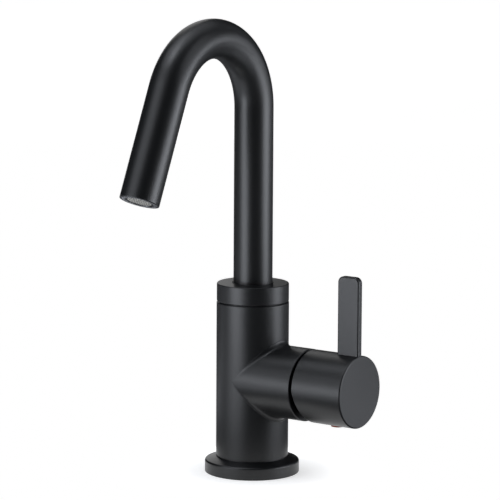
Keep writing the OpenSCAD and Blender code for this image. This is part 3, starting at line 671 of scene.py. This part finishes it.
def hub_shell(s):
    """Hollow hub: a turned cup whose lower inner edge is cut on the slant."""
    hub_r, mouth, end = HANDLE_HIGH.y, HANDLE_LOW.x, HANDLE_HIGH.x
    hollow = hub_r - s.hub_wall
    profile = [(0, end - s.end_wall), (hollow, end - s.end_wall), (hollow, mouth), (hub_r, mouth),
               (hub_r, end), (0, end)]
    bm = spun(profile, {4: s.hub_round}, s.steps, closed=False)
    bmesh.ops.transform(bm, matrix=HANDLE_FRAME, verts=bm.verts)
    lean = Vector((1, 0, math.tan(s.slant))).normalized()
    bmesh.ops.bisect_plane(bm, geom=bm.verts[:] + bm.edges[:] + bm.faces[:], dist=SAME,
                           plane_co=(mouth, 0, PIVOT.z), plane_no=lean, clear_inner=True)
    bmesh.ops.holes_fill(bm, edges=[e for e in bm.edges if e.is_boundary], sides=0)
    bmesh.ops.recalc_face_normals(bm, faces=bm.faces)
    lip = [e for e in bm.edges if e.is_manifold and e.calc_face_angle(0.0) > CORNER
           and max(v.co.x for v in e.verts) < end - s.end_wall - SAME]
    lip_round = 0.3 * MM
    bevel(bm, lip, lip_round, segments=3)
    return bm


def stem_socket(s):
    """Round boss inside the hub, with a square hole for the stem."""
    half = (STEM_HIGH.y - STEM_LOW.y) / 2 + RUN
    mouth = PIVOT.x + math.hypot(BODY_HIGH.x - PIVOT.x, DOME_HIGH.y - s.dome_lip) + s.socket_gap
    end = HANDLE_HIGH.x - s.end_wall + SLIP
    bm = bmesh.new()
    bmesh.ops.create_cone(bm, cap_ends=True, segments=SMALL_STEPS, radius1=half + s.socket_wall,
                          radius2=half + s.socket_wall, depth=end - mouth,
                          matrix=Matrix.Translation((0, 0, (mouth + end) / 2)))
    cap = next(f for f in bm.faces
               if len(f.verts) == SMALL_STEPS and f.calc_center_median().z < mouth + SAME)
    bmesh.ops.inset_individual(bm, faces=[cap], thickness=s.socket_wall / 2)
    # The inset face's round outline becomes the stem's square
    for v in cap.verts:
        v.co.x, v.co.y = (half * c / max(abs(v.co.x), abs(v.co.y)) for c in v.co.xy)
    floor = bmesh.ops.extrude_discrete_faces(bm, faces=[cap])["faces"][0]
    bmesh.ops.translate(bm, vec=(0, 0, STEM_HIGH.x + GAP - mouth), verts=floor.verts[:])
    return bm


def screw_column(s):
    """Column under the socket, bored for the set screw and recessed for the button."""
    bore, recess = s.screw / 2 + RUN, (BUTTON_HIGH.y - BUTTON_LOW.y) / 2 + RUN
    outer, foot = recess + s.column_wall, s.socket_wall
    seat, end = PIVOT.z - BUTTON_HIGH.z, HANDLE_HIGH.y - s.hub_wall / 2
    profile = [(bore, foot), (outer, foot), (outer, end), (recess, end), (recess, seat), (bore, seat)]
    return spun(profile, {}, SMALL_STEPS)


def blade_block(s):
    """Upright blade: a block with round top corners and soft long edges."""
    end, top = HANDLE_HIGH.x - s.blade_inset, HANDLE_HIGH.z
    foot = PIVOT.z + math.sqrt(HANDLE_HIGH.y ** 2 - s.blade_thick ** 2 / 4) - s.hub_wall / 2
    bm = bmesh.new()
    centre = Vector((end - s.blade_wide / 2, 0, (foot + top) / 2))
    place = Matrix.Translation(centre) @ Matrix.Diagonal((s.blade_wide, s.blade_thick, top - foot, 1))
    bmesh.ops.create_cube(bm, size=1, matrix=place)
    corners = [e for e in bm.edges if all(abs(v.co.z - top) < SAME for v in e.verts)
               and abs(e.verts[0].co.y - e.verts[1].co.y) > SAME]
    bevel(bm, corners, s.blade_corner, segments=14)
    long_edges = [e for e in bm.edges if e.calc_face_angle(0.0) > CORNER
                  and max(v.co.z for v in e.verts) > foot + SAME]
    bevel(bm, long_edges, s.blade_round)
    return bm


def under_hub(height):
    """Place on the button's axis at a height, turned to face down."""
    middle = (BUTTON_LOW.x + BUTTON_HIGH.x) / 2
    return Matrix.Translation((middle, 0, height)) @ Matrix.Rotation(math.pi, 4, "X")


class MIXER_OT_handle(bpy.types.Operator):
    """Handle: the hollow hub with its stem socket and screw column, and the upright blade, one casting"""
    bl_idname = "mixer.handle"
    bl_label = "Handle"

    def execute(self, context):
        s = context.scene.mixer_sizes
        piece(hub_shell(s), "handle_hub", "coat", "lever", ["lever_handle"])
        piece(stem_socket(s), "handle_stem_socket", "coat", "lever", place=HANDLE_FRAME)
        piece(screw_column(s), "handle_screw_column", "coat", "lever",
              place=under_hub(PIVOT.z))
        piece(blade_block(s), "handle_blade", "coat", "lever")
        return {"FINISHED"}


class MIXER_OT_button(bpy.types.Operator):
    """Red and blue button under the hub, with a crowned face"""
    bl_idname = "mixer.button"
    bl_label = "Index button"

    def execute(self, context):
        s = context.scene.mixer_sizes
        radius = (BUTTON_HIGH.y - BUTTON_LOW.y) / 2
        height = BUTTON_HIGH.z - BUTTON_LOW.z
        # The face drops a little to its shoulder and more to its edge
        shoulder, shoulder_drop, edge_drop = 0.6 * radius, 0.08 * MM, 0.35 * MM
        edge_round, shoulder_round = 0.3 * MM, 0.8 * MM
        profile = [(0, 0), (radius, 0), (radius, height - edge_drop), (shoulder, height - shoulder_drop),
                   (0, height)]
        bm = spun(profile, {2: edge_round, 3: shoulder_round}, steps=96, closed=False)
        piece(bm, "index_button_cap", "button", "lever", ["index_button"],
              under_hub(BUTTON_HIGH.z))
        return {"FINISHED"}


# The stage, in metres and degrees, with the lens and sensor in millimetres. Azimuth 0 is at -Y, and it
# grows toward +X. The camera stands where the photo's did, which the mixer's outline there shows.
CAMERA_LENS, CAMERA_SENSOR = 226.07, 36
CAMERA_AZIMUTH, CAMERA_AWAY, CAMERA_HEIGHT = 35.686, 1.792, 0.41258
CAMERA_HEADING, CAMERA_PITCH, CAMERA_ROLL = 35.744, 8.954, 0.323
# The floor lies a hair under the mixer's foot, so that their faces don't coincide
FLOOR_REACH, FLOOR_DROP = 8, 0.05 * MM
# The floor's own glow beside the flange, which grows to 1 at the felt mat's bore
FOOT_GLOW, MAT_BORE, MAT_THICK = 0.6, 66 * MM, 1 * MM
CURTAIN_RADIUS, CURTAIN_HEIGHT, CURTAIN_FOOT, CURTAIN_SPAN = 1.6, 1.8, 0.02, (-120, 216)
TABLE_HEIGHT = 3 * MM
# Power that gives a square metre of lamp a radiance of 1
LAMP_POWER = 4
# Soft boxes: azimuth and elevation in degrees, distance, width and height in metres, radiance
SOFT_BOXES = [
    ("left_strip", -23, 6.5, 1.4, 1.15, 0.3, 2.48),
    ("left_box", -22, 22, 1.45, 1.15, 1.15, 1.0),
    ("left_high", -10, 42, 1.45, 0.9, 0.5, 0.72),
    ("right_strip", 114, 6.5, 1.4, 1.1, 0.3, 6.0),
    ("right_mid", 114, 21, 1.45, 1.1, 0.45, 0.95),
    ("right_high", 106, 42, 1.45, 0.9, 0.6, 0.95),
    ("rear_box", 150, 12, 1.45, 0.5, 0.5, 1.07),
    ("rear_high", 168, 34, 1.45, 0.7, 0.7, 0.14),
    ("top_left", -60, 68, 1.45, 0.9, 0.9, 1.27),
    ("top_rear", 180, 70, 1.45, 0.9, 0.9, 0.54),
    ("bend_spot", -20, 70, 1.45, 0.4, 0.4, 4.0),
    ("overhead", 0, 88, 1.5, 0.7, 0.7, 0.85),
]
# Light tables: azimuth, near and far end, width, radiance
LIGHT_TABLES = [
    ("left_table", -15, 0.45, 1.5, 0.5, 5.1),
    ("left_near", -15, 0.13, 0.45, 0.2, 0.92),
    ("side_near", -66, 0.14, 0.6, 0.3, 0.48),
    ("right_table", 112, 0.45, 1.5, 0.5, 2.7),
    ("right_near", 120, 0.13, 0.45, 0.2, 0.7),
]


def soft_box(name, azimuth, elevation, away, wide, tall, glow):
    """A soft box on a stand, which looks at the mixer's foot. glow is its radiance."""
    data = bpy.data.lights.new(name, "AREA")
    data.shape = "RECTANGLE"
    data.size, data.size_y, data.energy = wide, tall, LAMP_POWER * wide * tall * glow
    data.color = bpy.context.scene.mixer_colours.lamp
    made = bpy.data.objects.new(name, data)
    made.matrix_world = (Matrix.Rotation(math.radians(azimuth), 4, "Z")
                         @ Matrix.Rotation(math.radians(90 - elevation), 4, "X")
                         @ Matrix.Translation((0, 0, away)))
    made.visible_camera = False
    bpy.context.scene.collection.objects.link(made)
    return made


def light_table(name, azimuth, near, far, wide, glow):
    """A low light table beside the mixer, which shines upward."""
    away = (near + far) / 2
    made = soft_box(name, azimuth, 0, away, wide, far - near, glow)
    made.matrix_world = (Matrix.Rotation(math.radians(azimuth), 4, "Z")
                         @ Matrix.Translation((0, -away, TABLE_HEIGHT))
                         @ Matrix.Rotation(math.pi, 4, "X"))


def stage_piece(bm, name, material):
    """A floor, mat or curtain, which isn't part of the mixer."""
    mesh = bpy.data.meshes.new(name)
    bm.to_mesh(mesh)
    bm.free()
    made = bpy.data.objects.new(name, mesh)
    made.data.materials.append(material)
    bpy.context.scene.collection.objects.link(made)
    return made


def white_share(tree):
    """1 for the camera's, the glossy and the transmission rays, which see the background as white."""
    path = add(tree, "LightPath", {}).outputs
    seen = sums(tree, "MAXIMUM", path["Is Camera Ray"], path["Is Glossy Ray"])
    return sums(tree, "MAXIMUM", seen, path["Is Transmission Ray"])


def paper(colours):
    """Matt pale paper floor, clear from below.

    Its own glow is white away from the mixer and less at its foot, so that it keeps the mixer's shadow.
    """
    material, tree, where = finish("paper_pale")
    fibre = grain(tree, where, 2 * MM, 4.0)
    away = add(tree, "VectorMath", {"operation": "LENGTH", 0: where}).outputs["Value"]
    fade = add(tree, "MapRange", {"Value": away, "From Min": FLANGE_HIGH.x, "From Max": MAT_BORE,
                                  "To Min": FOOT_GLOW, "To Max": 1.0}).outputs["Result"]
    glow = add(tree, "Emission", {"Color": (1, 1, 1, 1),
                                  "Strength": sums(tree, "MULTIPLY", white_share(tree), fade)})
    matt = add(tree, "BsdfDiffuse", {"Color": rgba(colours.backdrop),
                                     "Normal": relief(tree, fibre.outputs["Fac"], 0.02 * MM)})
    both = add(tree, "AddShader", {0: glow.outputs[0], 1: matt.outputs[0]})
    clear = add(tree, "BsdfTransparent", {})
    under = add(tree, "NewGeometry", {}).outputs["Backfacing"]
    close(tree, add(tree, "MixShader", {0: under, 1: both.outputs[0], 2: clear.outputs[0]}))
    return material


def cloth(name, tint):
    """Matt cloth of the stage: its nap is a fifth lighter or darker in patches 4 mm apart."""
    material, tree, where = finish(name)
    nap = grain(tree, where, 4 * MM)
    base = linear(tint)
    thin, thick = rgba([c * 0.8 for c in base]), rgba([c * 1.2 for c in base])
    close(tree, add(tree, "BsdfDiffuse", {
        "Color": blend(tree, spread(tree, nap.outputs["Fac"], 0, 1), thin, thick)}))
    return material


def flat_ring(bore, reach, height):
    """A flat ring round the mixer's axis, which faces up."""
    bm = bmesh.new()
    bmesh.ops.create_circle(bm, segments=96, radius=bore, matrix=Matrix.Translation((0, 0, height)))
    outer = corners_of(bmesh.ops.extrude_edge_only(bm, edges=bm.edges[:])["geom"])
    bmesh.ops.scale(bm, vec=(reach / bore, reach / bore, 1), verts=outer)
    bm.normal_update()
    bmesh.ops.reverse_faces(bm, faces=[f for f in bm.faces if f.normal.z < 0])
    return bm


def curtain_wall():
    """Upright curtain that stands round the stage over its span of azimuths."""
    first, last = (math.radians(azimuth) for azimuth in CURTAIN_SPAN)
    bm = bmesh.new()
    foot = bm.verts.new((0, -CURTAIN_RADIUS, CURTAIN_FOOT))
    bmesh.ops.rotate(bm, verts=[foot], cent=(0, 0, 0), matrix=Matrix.Rotation(first, 3, "Z"))
    bmesh.ops.spin(bm, geom=[foot], cent=(0, 0, 0), axis=(0, 0, 1), angle=last - first, steps=48,
                   use_merge=False, use_duplicate=False)
    wall = bmesh.ops.extrude_edge_only(bm, edges=bm.edges[:])["geom"]
    bmesh.ops.translate(bm, vec=(0, 0, CURTAIN_HEIGHT), verts=corners_of(wall))
    return bm


def curtain_roof():
    """Round roof over the curtain."""
    bm = bmesh.new()
    bmesh.ops.create_circle(bm, cap_ends=True, segments=64, radius=CURTAIN_RADIUS,
                            matrix=Matrix.Translation((0, 0, CURTAIN_FOOT + CURTAIN_HEIGHT)))
    return bm


def photo_camera(scene):
    """The camera at the photo's viewing angle."""
    data = bpy.data.cameras.new("camera")
    data.lens, data.sensor_width, data.sensor_fit = CAMERA_LENS, CAMERA_SENSOR, "HORIZONTAL"
    camera = bpy.data.objects.new("camera", data)
    azimuth, heading, pitch, roll = (math.radians(angle) for angle in (
        CAMERA_AZIMUTH, CAMERA_HEADING, CAMERA_PITCH, CAMERA_ROLL))
    stand = (CAMERA_AWAY * math.sin(azimuth), -CAMERA_AWAY * math.cos(azimuth), CAMERA_HEIGHT)
    camera.matrix_world = (Matrix.Translation(stand) @ Matrix.Rotation(heading, 4, "Z")
                           @ Matrix.Rotation(math.pi / 2 - pitch, 4, "X") @ Matrix.Rotation(roll, 4, "Z"))
    scene.collection.objects.link(camera)
    scene.camera = camera


def white_world(scene):
    """A world that the camera, gloss and glass see as white, and that gives matt surfaces no light."""
    world = bpy.data.worlds.new("studio")
    scene.world = world
    world.use_nodes = True
    tree = world.node_tree
    tree.nodes.clear()
    sky = add(tree, "Background", {"Color": (1, 1, 1, 1), "Strength": white_share(tree)})
    add(tree, "OutputWorld", {"Surface": sky.outputs[0]})


class MIXER_OT_stage(bpy.types.Operator):
    """Camera, pale floor, white world and soft lamps, with cloths that only reflections see

    The felt mat and the velvet curtain keep the dark bands between the highlights of the black coat.
    """
    bl_idname = "mixer.stage"
    bl_label = "Stage"

    def execute(self, context):
        scene = context.scene
        photo_camera(scene)
        floor = flat_ring(scene.mixer_sizes.deck_hole / 2, FLOOR_REACH, -FLOOR_DROP)
        stage_piece(floor, "floor", paper(scene.mixer_colours))
        felt, velvet = cloth("felt_grey", "#898989"), cloth("velvet_black", "#0d0d0d")
        for bm, name, material in ((flat_ring(MAT_BORE, CURTAIN_RADIUS, MAT_THICK), "mat", felt),
                                   (curtain_wall(), "curtain", velvet),
                                   (curtain_roof(), "curtain_roof", velvet)):
            stage_piece(bm, name, material).visible_camera = False
        for name, *place in SOFT_BOXES:
            soft_box(name, *place)
        for name, *place in LIGHT_TABLES:
            light_table(name, *place)
        white_world(scene)
        scene.view_settings.view_transform = "Standard"
        return {"FINISHED"}


class MIXER_PT_sidebar(bpy.types.Panel):
    """Lists the mixer's operators, sizes and colours"""
    bl_idname = "MIXER_PT_sidebar"
    bl_label = "Basin Mixer"
    bl_space_type = "VIEW_3D"
    bl_region_type = "UI"
    bl_category = "Mixer"

    def draw(self, context):
        for operator in OPERATORS:
            self.layout.operator(operator.bl_idname)
        for group in (context.scene.mixer_sizes, context.scene.mixer_colours):
            for name in group.__annotations__:
                self.layout.prop(group, name)


OPERATORS = [MIXER_OT_stage, MIXER_OT_finishes, MIXER_OT_flange, MIXER_OT_junction, MIXER_OT_rims,
             MIXER_OT_threads, MIXER_OT_dome, MIXER_OT_collar, MIXER_OT_tube, MIXER_OT_handle,
             MIXER_OT_button]
CLASSES = [MixerSizes, MixerColours, *OPERATORS, MIXER_PT_sidebar]


def register():
    """Adds the classes, and the sizes and colours to the scene."""
    for made in CLASSES:
        bpy.utils.register_class(made)
    bpy.types.Scene.mixer_sizes = PointerProperty(type=MixerSizes)
    bpy.types.Scene.mixer_colours = PointerProperty(type=MixerColours)


def unregister():
    """Takes them away again."""
    del bpy.types.Scene.mixer_sizes
    del bpy.types.Scene.mixer_colours
    for made in reversed(CLASSES):
        bpy.utils.unregister_class(made)


def main():
    """Builds everything in order."""
    register()
    for operator in OPERATORS:
        group, name = operator.bl_idname.split(".")
        getattr(getattr(bpy.ops, group), name)()


if __name__ == "__main__":
    main()
